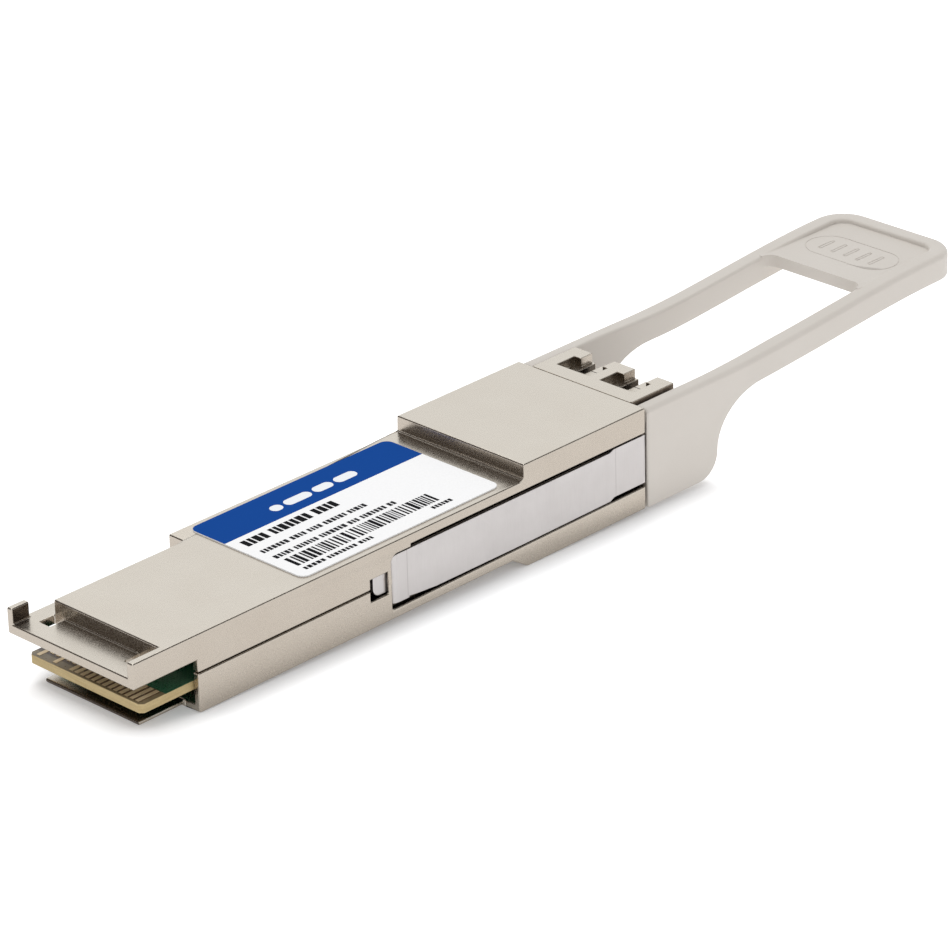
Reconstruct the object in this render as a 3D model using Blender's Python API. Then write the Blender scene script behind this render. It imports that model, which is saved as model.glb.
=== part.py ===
"""Pluggable optical transceiver module with duplex LC ports and a pull-tab release.

Frame: +X runs along the module towards its optical end and the pull tab, +Y is the far side,
+Z is up. The origin is on the module's centre line, at the height of its flat underside, in the
plane of the head's front shoulder, which stops against the mouth of the cage.
Dimensions below are in millimetres; MM turns them into metres.
"""
import math

import bmesh
import bpy

MM = 0.001

# Driving dimensions of the body that slides into the cage
HALF_WIDTH = 9.175
BODY_HEIGHT = 8.5
NOSE_X = -54.05
HEAD_END_X = 18.5
SEAM_Z = 4.26
SEAM_HALF_GAP = 0.07
GAP = 0.3
OVER = 1.0                    # how far a cutter runs past the face that it opens

# Nose: a thin platform over the paddle card, and a narrow plate under it
STEP_X = -49.9
PLATFORM_Z = 6.77
SHROUD_UNDER_Z = 5.74
SIDE_START_X = -45.75
RAIL_WIDTH = 0.92
CORNER_TAB_LENGTH = 2.3
CORNER_TAB_THICKNESS = 0.76
KEY_END_X = -32.6
KEY_WIDTH = 2.25
FLOOR_SLOT_START_X = -51.75
FLOOR_SLOT_Y = (5.4, 6.95)
UNDER_PLATE_START_X = -51.7
UNDER_PLATE_HALF_WIDTH = 6.85
UNDER_PLATE_Z = (0.1, 0.55)
STEP_FILLET = 0.22

# Head, outside the cage
HEAD_TOP_Z = 10.3
HEAD_BOTTOM_Z = -1.4
HEAD_RAMP_START_X = -1.95
HEAD_RAMP_END_X = 0.35

# Cavity
WALL_TOP = 1.2
WALL_FLOOR = 1.1
CAVITY_HALF_WIDTH = 7.0
CHAMBER_HALF_WIDTH = 8.35
CHAMBER_END_X = -43.7
BULKHEAD_END_X = -42.5
FRONT_CEILING_Z = 5.9
FRONT_CEILING_END_X = -31.8
HEAD_CAVITY_START_X = 1.2
HEAD_CAVITY_Z = (-0.2, 9.1)

# Release slides, one in each side
RECESS_X = -19.3
RECESS_Z = (1.0, 7.37)
RECESS_REAR_FOOT_Z = 1.22
RECESS_NOSE_TOP_Z = 7.05
RECESS_NOSE_END_X = -16.4
RECESS_FLOOR_Y = 8.42
RECESS_TOP_CORNER = 1.0
RECESS_FOOT_CORNER = 0.3
SLIDER_OUTER_Y = 9.08
SLIDER_THICKNESS = 0.4
SLIDER_LOWER_EDGE = ((-16.9, 1.66), (-15.6, 1.5), (-12.9, 1.3), (0.0, 1.23), (13.1, 1.3))
SLIDER_TOP_Z = 6.93
SLIDER_FRONT_FOOT_Z = 1.48
SLIDER_REAR_Z = (1.6, 7.18)
SLIDER_STEP_LENGTH = 0.6
SLIDER_BEND_X = -17.0
SLIDER_NOSE_X = -19.2
SLIDER_NOSE_RADIUS = 0.75
SLIDER_NOSE_SWEEP = 160.0
SLIDER_TOP_CORNER = 0.9
SLIDER_FOOT_CORNER = 0.25
POCKET_X = (-22.25, -19.75)
POCKET_Z = (3.0, 5.49)
POCKET_FLOOR_Y = 7.75
BRIDGE_INNER_Y = 8.95
TONGUE_X = (-21.6, -19.3)
TONGUE_Z = (3.1, 5.3)
TONGUE_RADII = (0.95, 0.45)
TONGUE_Y = (8.4, 8.8)
TONGUE_NECK_END_X = -18.6
TONGUE_NECK_Z = (3.6, 4.9)
RELEASE_TRAVEL = 2.6
LUG_X = (-9.2, -8.6)
LUG_INNER_Y = 7.35
CHANNEL_X = (-9.5, 1.0)
CHANNEL_Z = (4.85, 6.35)
CHANNEL_FLOOR_Y = 7.2
TANG_X = (17.7, 22.0)
TANG_Z = (2.8, 5.8)
TANG_Y = (8.25, 8.5)

# Return springs
SPRING_COIL_RADIUS = 0.42
SPRING_WIRE_RADIUS = 0.11
SPRING_TURNS = 9
SPRING_Y = 7.85
SPRING_Z = 5.6
SPRING_STEPS_PER_TURN = 12

# Circuit board with its paddle card
BOARD_TOP_Z = 3.14
BOARD_THICKNESS = 1.0
PADDLE_START_X = -52.45
PADDLE_END_X = -44.0
PADDLE_HALF_WIDTH = 8.21
BOARD_END_X = -7.0
BOARD_HALF_WIDTH = 6.7
PADDLE_CHAMFER = 0.4
STANDOFF = 0.3

# Optics: two subassemblies on the LC pitch
LC_HALF_PITCH = 3.125
LC_AXIS_Z = 4.2
PACKAGE_X = (-5.0, 7.0)
PACKAGE_HALF_WIDTH = 2.7
PACKAGE_Z = (1.4, 6.9)
NECK_RADIUS = 1.5
NECK_END_X = 9.3
FLANGE_X = (9.6, 10.6)
FLANGE_RADIUS = 2.2
BARREL_RADIUS = 1.45
BARREL_END_X = 18.9
BARREL_BORE_RADIUS = 1.0
BARREL_BORE_START_X = 12.2
SLEEVE_X = (12.5, 18.6)
SLEEVE_RADIUS = 0.82
SLEEVE_BORE_RADIUS = 0.63
CLAMP_X = (10.9, 12.9)

# LC receptacle
LC_BACK_X = 13.4
LC_PORT_START_X = 14.6
LC_FLANGE_X = 18.65
LC_END_X = 25.2
LC_OUTER_HALF_WIDTH = 7.15
LC_OUTER_Z = (-1.2, HEAD_TOP_Z)
LC_INNER_HALF_WIDTH = 6.7
LC_INNER_Z = (0.1, 8.8)
PORT_HALF_WIDTH = 2.4
PORT_Z = (1.8, 6.7)
LATCH_SLOT_Y = (0.0, 0.98)      # both from the port's centre line
ROOF_NOTCH_Y = (-1.7, 1.48)
LATCH_SLOT_START_X = 22.4
LATCH_LEDGE_Z = 9.25
WINDOW_X = (20.6, 23.35)
BARREL_HOLE_RADIUS = 1.75

# Pull tab
TAB_FRONT_X = 18.85
TAB_END_X = 71.4
TAB_CHEEK_Z = (HEAD_BOTTOM_Z, 10.0)
TAB_ARM_UNDER_Z = 7.1
TAB_RISE = 1.8
TAB_RISE_X = (34.0, 68.0)
TAB_OUTER_Y = (9.2, 8.95)
TAB_OUTER_X = (30.0, 44.0)
TAB_INNER_Y = (7.45, 6.8)
TAB_INNER_X = (28.0, 42.0)
TAB_FRONT_BEVEL = 0.15
TAB_OUTER_EDGE_RADIUS = 0.6
TAB_INNER_EDGE_RADIUS = 0.35
TAB_TOE_RADIUS = 2.8
TAB_TOE_X = 29.85
TAB_THROAT_LENGTH = 7.2
TAB_CORNER_RADIUS = 3.9
TAB_PLATE_X = (56.7, 70.0)
TAB_PLATE_Z = (9.9, 11.3)
TAB_PLATE_FILLET = 1.2
TAB_SLOT_Y = (8.05, 8.7)
TAB_SLOT_END_X = 22.4
TAB_SLOT_Z = (2.5, 6.1)

# Screws that hold the two castings together
SCREW_FRONT = (-40.6, 5.4)
SCREW_REAR = (8.4, 6.2)
SCREW_HEAD_RADIUS = 1.0
SCREW_HEAD_HEIGHT = 0.5
SCREW_SHANK_RADIUS = 0.55
SCREW_HOLE_RADIUS = 0.8
SCREW_DRIVE_RADIUS = 0.42
SCREW_DRIVE_DEPTH = 0.28
COUNTERBORE_RADIUS = 1.25
COUNTERBORE_DEPTH = 0.75
POST_RADIUS = 1.4

# Label
LABEL_X = (-30.6, -2.5)
LABEL_HALF_WIDTH = 8.3
LABEL_CORNER = 1.0
LABEL_LIFT = 0.05
LABEL_THICKNESS = 0.1

CIRCLE_STEPS = 24
SHARP_ANGLE = math.radians(35.0)


def material(name, colour, roughness, metallic):
    """A Principled BSDF with one colour."""
    made = bpy.data.materials.new(name)
    made.use_nodes = True
    shader = made.node_tree.nodes["Principled BSDF"]
    shader.inputs["Base Color"].default_value = (*colour, 1.0)
    shader.inputs["Roughness"].default_value = roughness
    shader.inputs["Metallic"].default_value = metallic
    made.diffuse_color = (*colour, 1.0)
    return made


def mesh_object(name, points, faces, finish=None):
    """A closed mesh object from points in millimetres, with its faces turned outwards."""
    mesh = bpy.data.meshes.new(name)
    work = bmesh.new()
    corners = [work.verts.new([value * MM for value in point]) for point in points]
    for face in faces:
        work.faces.new([corners[index] for index in face])
    bmesh.ops.recalc_face_normals(work, faces=work.faces)
    work.to_mesh(mesh)
    work.free()
    made = bpy.data.objects.new(name, mesh)
    bpy.context.scene.collection.objects.link(made)
    if finish is not None:
        mesh.materials.append(finish)
    return made


def prism(name, outline, low, high, axis, finish=None):
    """A closed outline in the plane across one axis, extruded from low to high."""
    def place(u, v, depth):
        return {"x": (depth, u, v), "y": (u, depth, v), "z": (u, v, depth)}[axis]

    count = len(outline)
    points = [place(u, v, low) for u, v in outline] + [place(u, v, high) for u, v in outline]
    faces = [list(range(count)), list(range(count, 2 * count))]
    for index in range(count):
        after = (index + 1) % count
        faces.append([index, after, count + after, count + index])
    return mesh_object(name, points, faces, finish)


def box(name, x, y, z, finish=None):
    """A box from its ranges along x, y and z."""
    outline = [(x[0], y[0]), (x[1], y[0]), (x[1], y[1]), (x[0], y[1])]
    return prism(name, outline, z[0], z[1], "z", finish)


def arc(centre, radii, start, end, steps):
    """Points on an elliptical arc, with its angles in degrees."""
    points = []
    for step in range(steps + 1):
        angle = math.radians(start + (end - start) * step / steps)
        points.append((centre[0] + radii[0] * math.cos(angle), centre[1] + radii[1] * math.sin(angle)))
    return points


def cylinder(name, centre, radius, low, high, axis, finish=None, steps=CIRCLE_STEPS):
    """A cylinder along x or z, about a centre given in the plane across that axis."""
    outline = arc(centre, (radius, radius), 0.0, 360.0 * (steps - 1) / steps, steps - 1)
    return smooth(prism(name, outline, low, high, axis, finish))


def turned(name, profile, centre, finish, steps=CIRCLE_STEPS):
    """A solid turned about a line along x; the profile is a closed loop of (x, radius)."""
    points = []
    faces = []
    count = len(profile)
    for step in range(steps):
        angle = 2.0 * math.pi * step / steps
        for x, radius in profile:
            points.append((x, centre[0] + radius * math.cos(angle), centre[1] + radius * math.sin(angle)))
    for step in range(steps):
        first = step * count
        second = (step + 1) % steps * count
        for index in range(count):
            after = (index + 1) % count
            faces.append([first + index, first + after, second + after, second + index])
    return smooth(mesh_object(name, points, faces, finish))


def smooth(made):
    """Smooth shading that keeps the sharp edges."""
    made.data.shade_smooth()
    made.data.set_sharp_from_angle(angle=SHARP_ANGLE)
    return made


def hide(tool):
    """Mark a cutter or an added shape as a guide, not a part."""
    tool.hide_render = True
    tool.display_type = "WIRE"


def combine(target, tool, operation):
    """Join a shape to a part, or cut it away."""
    modifier = target.modifiers.new(tool.name, "BOOLEAN")
    modifier.operation = operation
    modifier.solver = "EXACT"
    modifier.object = tool
    hide(tool)


def add(target, *tools):
    for tool in tools:
        combine(target, tool, "UNION")


def cut(target, *tools):
    for tool in tools:
        combine(target, tool, "DIFFERENCE")


def sided(side, low, high):
    """A range of distances from the centre line as a range of y on one side."""
    return (low, high) if side > 0 else (-high, -low)


SIDES = (("near", -1), ("far", 1))


def round_corner(x, z, radius, start):
    """A quarter circle inside the corner at x, z of an outline that lies towards +X of it."""
    inward = -radius if start == 90.0 else radius
    return arc((x + radius, z + inward), (radius, radius), start, start + 90.0, 6)


def recess_cutters(prefix):
    """The openings of both release slides: recess, latch pocket, spring channel, tang relief."""
    cutters = []
    outside = HALF_WIDTH + OVER
    outline = [
        (HEAD_END_X + OVER, RECESS_REAR_FOOT_Z),
        (HEAD_END_X + OVER, RECESS_Z[1]),
        (RECESS_NOSE_END_X, RECESS_Z[1]),
        (RECESS_NOSE_END_X, RECESS_NOSE_TOP_Z),
    ]
    outline += round_corner(RECESS_X, RECESS_NOSE_TOP_Z, RECESS_TOP_CORNER, 90.0)
    outline += round_corner(RECESS_X, RECESS_Z[0], RECESS_FOOT_CORNER, 180.0)
    tongue_run = (POCKET_X[0], TONGUE_NECK_END_X + RELEASE_TRAVEL + GAP)
    for label, side in SIDES:
        recess_y = sided(side, RECESS_FLOOR_Y, outside)
        cutters.append(prism(f"{prefix}_recess_{label}", outline, *recess_y, "y"))
        pocket_y = sided(side, POCKET_FLOOR_Y, outside)
        cutters.append(box(f"{prefix}_pocket_{label}", POCKET_X, pocket_y, POCKET_Z))
        tunnel_y = sided(side, POCKET_FLOOR_Y, BRIDGE_INNER_Y)
        cutters.append(box(f"{prefix}_tunnel_{label}", tongue_run, tunnel_y, POCKET_Z))
        channel_y = sided(side, CHANNEL_FLOOR_Y, outside)
        cutters.append(box(f"{prefix}_channel_{label}", CHANNEL_X, channel_y, CHANNEL_Z))
        relief_x = (TANG_X[0] - GAP, HEAD_END_X + OVER)
        relief_y = sided(side, TANG_Y[0] - GAP, outside)
        relief_z = (TANG_Z[0] - GAP, TANG_Z[1] + GAP)
        cutters.append(box(f"{prefix}_relief_{label}", relief_x, relief_y, relief_z))
    return cutters


def foot_fillet(name, x, low_z, y, size):
    """The small fillet at the foot of a step that rises towards +X."""
    bury = 0.2
    outline = [(x - size, low_z - bury), (x + bury, low_z - bury), (x + bury, low_z + size)]
    outline += arc((x - size, low_z + size), (size, size), 0.0, -90.0, 4)
    return smooth(prism(name, outline, *y, "y"))


def upper_housing(finish):
    """The upper die casting: nose platform, keying cut, top, head and half of each side."""
    low = SEAM_Z + SEAM_HALF_GAP
    outline = [
        (NOSE_X, SHROUD_UNDER_Z),
        (SIDE_START_X, SHROUD_UNDER_Z),
        (SIDE_START_X, low),
        (HEAD_END_X, low),
        (HEAD_END_X, HEAD_TOP_Z),
        (0.0, HEAD_TOP_Z),
        (0.0, BODY_HEIGHT),
        (NOSE_X, BODY_HEIGHT),
    ]
    part = prism("upper_housing", outline, -HALF_WIDTH, HALF_WIDTH, "y", finish)
    above = BODY_HEIGHT + OVER
    ahead = NOSE_X - OVER
    rail_y = -HALF_WIDTH + RAIL_WIDTH
    tab_x = NOSE_X + CORNER_TAB_LENGTH
    tab_y = HALF_WIDTH - CORNER_TAB_THICKNESS
    outside = HALF_WIDTH + OVER
    key_y = HALF_WIDTH - KEY_WIDTH
    platform_z = (PLATFORM_Z, above)
    cut(
        part,
        box("cut_platform", (ahead, STEP_X), (rail_y, tab_y), platform_z),
        box("cut_platform_edge", (tab_x, STEP_X), (tab_y - 0.5, outside), platform_z),
        box("cut_key", (STEP_X - 0.5, KEY_END_X), (key_y, outside), platform_z),
    )
    for label, side in SIDES:
        slot_x = (FLOOR_SLOT_START_X, STEP_X)
        slot_z = (SHROUD_UNDER_Z - OVER, PLATFORM_Z + OVER)
        cut(part, box(f"cut_floor_slot_{label}", slot_x, sided(side, *FLOOR_SLOT_Y), slot_z))
    fillet_y = (-FLOOR_SLOT_Y[0] + 0.1, FLOOR_SLOT_Y[0] - 0.1)
    add(
        part,
        foot_fillet("fillet_platform", STEP_X, PLATFORM_Z, fillet_y, STEP_FILLET),
        foot_fillet("fillet_head", 0.0, BODY_HEIGHT, (-HALF_WIDTH + 0.03, HALF_WIDTH - 0.03), STEP_FILLET),
    )
    below = low - OVER
    chamber_x = (SIDE_START_X - OVER, CHAMBER_END_X)
    chamber_y = (-CHAMBER_HALF_WIDTH, CHAMBER_HALF_WIDTH)
    cavity_y = (-CAVITY_HALF_WIDTH, CAVITY_HALF_WIDTH)
    front_x = (BULKHEAD_END_X, FRONT_CEILING_END_X + 0.5)
    ceiling = BODY_HEIGHT - WALL_TOP
    cut(
        part,
        box("cut_chamber_top", chamber_x, chamber_y, (below, SHROUD_UNDER_Z)),
        box("cut_cavity_front", front_x, cavity_y, (below, FRONT_CEILING_Z)),
        box("cut_cavity_top", (FRONT_CEILING_END_X, HEAD_CAVITY_START_X + 0.5), cavity_y, (below, ceiling)),
        box("cut_head_top", (HEAD_CAVITY_START_X, HEAD_END_X + OVER), cavity_y, (below, HEAD_CAVITY_Z[1])),
    )
    add(part, box("retimer_pedestal", (-31.6, -23.5), (-4.5, 4.5), (5.7, ceiling + 0.2)))
    for label, side in SIDES:
        front = (SCREW_FRONT[0], side * SCREW_FRONT[1])
        rear = (SCREW_REAR[0], side * SCREW_REAR[1])
        post_front = cylinder(f"post_top_front_{label}", front, POST_RADIUS, low, FRONT_CEILING_Z + 0.2, "z")
        post_rear = cylinder(f"post_top_rear_{label}", rear, POST_RADIUS, low, HEAD_CAVITY_Z[1] + 0.2, "z")
        add(part, post_front, post_rear)
        hole_front = cylinder(f"hole_top_front_{label}", front, SCREW_HOLE_RADIUS, below, 6.35, "z")
        hole_rear = cylinder(f"hole_top_rear_{label}", rear, SCREW_HOLE_RADIUS, below, 8.2, "z")
        cut(part, hole_front, hole_rear)
    cut(part, *recess_cutters("top"))
    return part


def lower_housing(finish):
    """The lower die casting: a tray with the plate under the paddle card and the head's foot."""
    high = SEAM_Z - SEAM_HALF_GAP
    outline = [
        (SIDE_START_X, 0.0),
        (HEAD_RAMP_START_X, 0.0),
        (HEAD_RAMP_END_X, HEAD_BOTTOM_Z),
        (HEAD_END_X, HEAD_BOTTOM_Z),
        (HEAD_END_X, high),
        (SIDE_START_X, high),
    ]
    part = prism("lower_housing", outline, -HALF_WIDTH, HALF_WIDTH, "y", finish)
    above = high + OVER
    cavity_y = (-CAVITY_HALF_WIDTH, CAVITY_HALF_WIDTH)
    under_x = (UNDER_PLATE_START_X, SIDE_START_X + 0.5)
    under_y = (-UNDER_PLATE_HALF_WIDTH, UNDER_PLATE_HALF_WIDTH)
    chamber_y = (-CHAMBER_HALF_WIDTH, CHAMBER_HALF_WIDTH)
    chamber_z = (UNDER_PLATE_Z[1] + 0.2, above)
    slit_z = (BOARD_TOP_Z - BOARD_THICKNESS - STANDOFF, above)
    add(part, box("under_plate", under_x, under_y, UNDER_PLATE_Z))
    cut(
        part,
        box("cut_chamber_base", (SIDE_START_X - OVER, CHAMBER_END_X), chamber_y, chamber_z),
        box("cut_board_slit", (CHAMBER_END_X - 0.5, BULKHEAD_END_X + 0.5), cavity_y, slit_z),
        box("cut_cavity_base", (BULKHEAD_END_X, HEAD_CAVITY_START_X + 0.5), cavity_y, (WALL_FLOOR, above)),
        box("cut_head_base", (HEAD_CAVITY_START_X, HEAD_END_X + OVER), cavity_y, (HEAD_CAVITY_Z[0], above)),
    )
    ledge_top = BOARD_TOP_Z - BOARD_THICKNESS - STANDOFF
    for label, side in SIDES:
        ledge_y = sided(side, BOARD_HALF_WIDTH - 0.8, CAVITY_HALF_WIDTH + 0.2)
        add(part, box(f"board_ledge_{label}", (-37.0, -9.0), ledge_y, (WALL_FLOOR - 0.2, ledge_top)))
        front = (SCREW_FRONT[0], side * SCREW_FRONT[1])
        rear = (SCREW_REAR[0], side * SCREW_REAR[1])
        post_front = cylinder(f"post_base_front_{label}", front, POST_RADIUS, WALL_FLOOR - 0.2, high, "z")
        post_rear = cylinder(f"post_base_rear_{label}", rear, POST_RADIUS, HEAD_CAVITY_Z[0] - 0.2, high, "z")
        add(part, post_front, post_rear)
        for place, centre, base in (("front", front, 0.0), ("rear", rear, HEAD_BOTTOM_Z)):
            hole = cylinder(f"hole_base_{place}_{label}", centre, SCREW_HOLE_RADIUS, base - OVER, above, "z")
            bore = (base - OVER, base + COUNTERBORE_DEPTH)
            sink = cylinder(f"counterbore_{place}_{label}", centre, COUNTERBORE_RADIUS, *bore, "z")
            cut(part, hole, sink)
    cut(part, *recess_cutters("base"))
    return part


def circuit_board(finish):
    """The board, whose wide front end is the paddle card that enters the host's connector."""
    front = PADDLE_START_X
    wide = PADDLE_HALF_WIDTH
    narrow = BOARD_HALF_WIDTH
    half = [
        (front, -wide + PADDLE_CHAMFER),
        (front + PADDLE_CHAMFER, -wide),
        (PADDLE_END_X, -wide),
        (PADDLE_END_X, -narrow),
        (BOARD_END_X, -narrow),
    ]
    outline = half + [(x, -y) for x, y in reversed(half)]
    part = prism("circuit_board", outline, BOARD_TOP_Z - BOARD_THICKNESS, BOARD_TOP_Z, "z", finish)
    for label, side in SIDES:
        centre = (SCREW_FRONT[0], side * SCREW_FRONT[1])
        notch = cylinder(f"board_notch_{label}", centre, POST_RADIUS + GAP, 0.0, BODY_HEIGHT, "z")
        cut(part, notch)
    return part


def board_components(black, ceramic, ferrite):
    """The packages soldered to the top of the board."""
    rows = (
        ("retimer_chip", -28.0, 0.0, 9.0, 9.0, 1.2, black),
        ("driver_chip", -16.5, -3.6, 5.0, 4.0, 0.9, black),
        ("microcontroller_chip", -16.5, 3.4, 5.0, 5.0, 0.9, black),
        ("clock_oscillator", -36.4, 0.0, 3.2, 2.5, 0.9, ceramic),
        ("inductor_near", -21.2, -5.0, 2.6, 2.6, 1.5, ferrite),
        ("inductor_far", -21.2, 5.0, 2.6, 2.6, 1.5, ferrite),
    )
    base = BOARD_TOP_Z + STANDOFF
    for name, x, y, length, width, height, finish in rows:
        across = (y - width / 2, y + width / 2)
        box(name, (x - length / 2, x + length / 2), across, (base, base + height), finish)


def thermal_pads(finish):
    """Soft pads that carry heat from the hot packages to the upper casting."""
    box("retimer_thermal_pad", (-32.0, -24.0), (-4.0, 4.0), (4.94, 5.4), finish)
    for name, side in (("tosa_thermal_pad", -1), ("rosa_thermal_pad", 1)):
        centre = side * LC_HALF_PITCH
        box(name, (1.6, 6.6), (centre - 2.2, centre + 2.2), (PACKAGE_Z[1] + GAP, 8.8), finish)


def optical_subassembly(label, side, gold, steel, zirconia, film):
    """One of the two optical subassemblies: sealed package, barrel, split sleeve and flex."""
    centre = (side * LC_HALF_PITCH, LC_AXIS_Z)
    across = (centre[0] - PACKAGE_HALF_WIDTH, centre[0] + PACKAGE_HALF_WIDTH)
    package = box(f"{label}_package", PACKAGE_X, across, PACKAGE_Z, gold)
    neck = cylinder(f"{label}_neck", centre, NECK_RADIUS, PACKAGE_X[1] - 0.5, NECK_END_X, "x")
    add(package, neck)
    barrel = [
        (FLANGE_X[0], 0.35),
        (FLANGE_X[0], FLANGE_RADIUS),
        (FLANGE_X[1], FLANGE_RADIUS),
        (FLANGE_X[1], BARREL_RADIUS),
        (BARREL_END_X - 0.2, BARREL_RADIUS),
        (BARREL_END_X, BARREL_RADIUS - 0.2),
        (BARREL_END_X, BARREL_BORE_RADIUS),
        (BARREL_BORE_START_X, BARREL_BORE_RADIUS),
        (BARREL_BORE_START_X, 0.35),
    ]
    turned(f"{label}_barrel", barrel, centre, steel)
    sleeve = [
        (SLEEVE_X[0], SLEEVE_BORE_RADIUS),
        (SLEEVE_X[0], SLEEVE_RADIUS),
        (SLEEVE_X[1], SLEEVE_RADIUS),
        (SLEEVE_X[1], SLEEVE_BORE_RADIUS),
    ]
    turned(f"{label}_sleeve", sleeve, centre, zirconia)
    flex(f"{label}_flex", centre[0], film)


def blend(value, low, high):
    """A smooth step from 0 at low to 1 at high."""
    share = min(1.0, max(0.0, (value - low) / (high - low)))
    return share * share * (3.0 - 2.0 * share)


def flex(name, centre_y, finish):
    """The flexible circuit from the board's top to the back of an optical package."""
    half_thickness = 0.08
    half_width = 1.9
    board_z = BOARD_TOP_Z + STANDOFF + half_thickness
    run = (-11.0, -5.3)
    bend = (-9.2, -6.2)
    steps = 14
    line = []
    for step in range(steps + 1):
        x = run[0] + (run[1] - run[0]) * step / steps
        line.append((x, board_z + (LC_AXIS_Z - board_z) * blend(x, *bend)))
    outline = [(x, z - half_thickness) for x, z in line]
    outline += [(x, z + half_thickness) for x, z in reversed(line)]
    prism(name, outline, centre_y - half_width, centre_y + half_width, "y", finish)


def barrel_clamp(finish):
    """The bracket that holds both barrels in the head."""
    across = (-LC_INNER_HALF_WIDTH, LC_INNER_HALF_WIDTH)
    part = box("barrel_clamp", CLAMP_X, across, LC_INNER_Z, finish)
    for label, side in SIDES:
        centre = (side * LC_HALF_PITCH, LC_AXIS_Z)
        hole_x = (CLAMP_X[0] - OVER, CLAMP_X[1] + OVER)
        cut(part, cylinder(f"clamp_hole_{label}", centre, BARREL_HOLE_RADIUS, *hole_x, "x"))


def lc_receptacle(finish):
    """The duplex LC receptacle: two ports, each with a latch window in the roof."""
    outer_y = (-LC_OUTER_HALF_WIDTH, LC_OUTER_HALF_WIDTH)
    inner_y = (-LC_INNER_HALF_WIDTH, LC_INNER_HALF_WIDTH)
    part = box("lc_receptacle", (LC_FLANGE_X, LC_END_X), outer_y, LC_OUTER_Z, finish)
    add(part, box("lc_shank", (LC_BACK_X, LC_FLANGE_X + 0.5), inner_y, LC_INNER_Z))
    past = LC_END_X + OVER
    above = HEAD_TOP_Z + OVER
    for label, side in SIDES:
        centre = side * LC_HALF_PITCH
        wide = (centre - PORT_HALF_WIDTH, centre + PORT_HALF_WIDTH)
        slot_y = (centre + LATCH_SLOT_Y[0], centre + LATCH_SLOT_Y[1])
        notch_y = (centre + ROOF_NOTCH_Y[0], centre + ROOF_NOTCH_Y[1])
        hole_x = (LC_BACK_X - OVER, LC_PORT_START_X + 0.5)
        window_z = (LATCH_LEDGE_Z, above)
        slot_x = (LATCH_SLOT_START_X, past)
        slot_z = (PORT_Z[1] - 0.5, LATCH_LEDGE_Z + 0.1)
        cut(
            part,
            box(f"port_{label}", (LC_PORT_START_X, past), wide, PORT_Z),
            box(f"latch_slot_{label}", slot_x, slot_y, slot_z),
            box(f"window_{label}", WINDOW_X, wide, window_z),
            box(f"roof_notch_{label}", (WINDOW_X[1] - 0.5, past), notch_y, window_z),
            cylinder(f"barrel_hole_{label}", (centre, LC_AXIS_Z), BARREL_HOLE_RADIUS, *hole_x, "x"),
        )


def screws(finish):
    """Four screws, driven up from the underside."""
    rows = (("front", SCREW_FRONT, 0.0, 5.9), ("rear", SCREW_REAR, HEAD_BOTTOM_Z, 8.8))
    for place, where, base, length in rows:
        for label, side in SIDES:
            centre = (where[0], side * where[1])
            bottom = base + 0.1
            shoulder = bottom + SCREW_HEAD_HEIGHT
            name = f"screw_{place}_{label}"
            part = cylinder(name, centre, SCREW_HEAD_RADIUS, bottom, shoulder, "z", finish)
            shank_z = (shoulder - 0.2, bottom + length)
            drive_z = (bottom - 0.3, bottom + SCREW_DRIVE_DEPTH)
            add(part, cylinder(f"{name}_shank", centre, SCREW_SHANK_RADIUS, *shank_z, "z", steps=12))
            cut(part, cylinder(f"{name}_drive", centre, SCREW_DRIVE_RADIUS, *drive_z, "z", steps=6))


def top_label(finish):
    """The printed label, with rounded corners."""
    x0, x1 = LABEL_X
    half = LABEL_HALF_WIDTH
    corner = LABEL_CORNER
    outline = []
    for centre, start in (
        ((x1 - corner, half - corner), 0.0),
        ((x0 + corner, half - corner), 90.0),
        ((x0 + corner, -half + corner), 180.0),
        ((x1 - corner, -half + corner), 270.0),
    ):
        outline += arc(centre, (corner, corner), start, start + 90.0, 5)
    low = BODY_HEIGHT + LABEL_LIFT
    prism("top_label", outline, low, low + LABEL_THICKNESS, "z", finish)


def tongue_outline():
    """The tongue that fills the latch pocket: square at the top, rounded at the bottom."""
    front, rear = TONGUE_RADII
    low, high = TONGUE_Z
    outline = arc((TONGUE_X[0] + front, low + front), (front, front), 180.0, 270.0, 6)
    outline += arc((TONGUE_X[1] - rear, low + rear), (rear, rear), 270.0, 360.0, 4)
    outline += [(TONGUE_X[1], high), (TONGUE_X[0], high)]
    return outline


def corner_cutter(name, z, radius, up):
    """A cutter across the module that rounds the slide's front corner at height z."""
    front = SLIDER_NOSE_X - OVER
    outline = [(front, z + up * OVER), (front, z - up * radius)]
    centre = (SLIDER_NOSE_X + radius, z - up * radius)
    outline += arc(centre, (radius, up * radius), 180.0, 90.0, 6)
    outline.append((SLIDER_NOSE_X + radius, z + up * OVER))
    return prism(name, outline, -HALF_WIDTH - OVER, HALF_WIDTH + OVER, "y")


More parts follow.
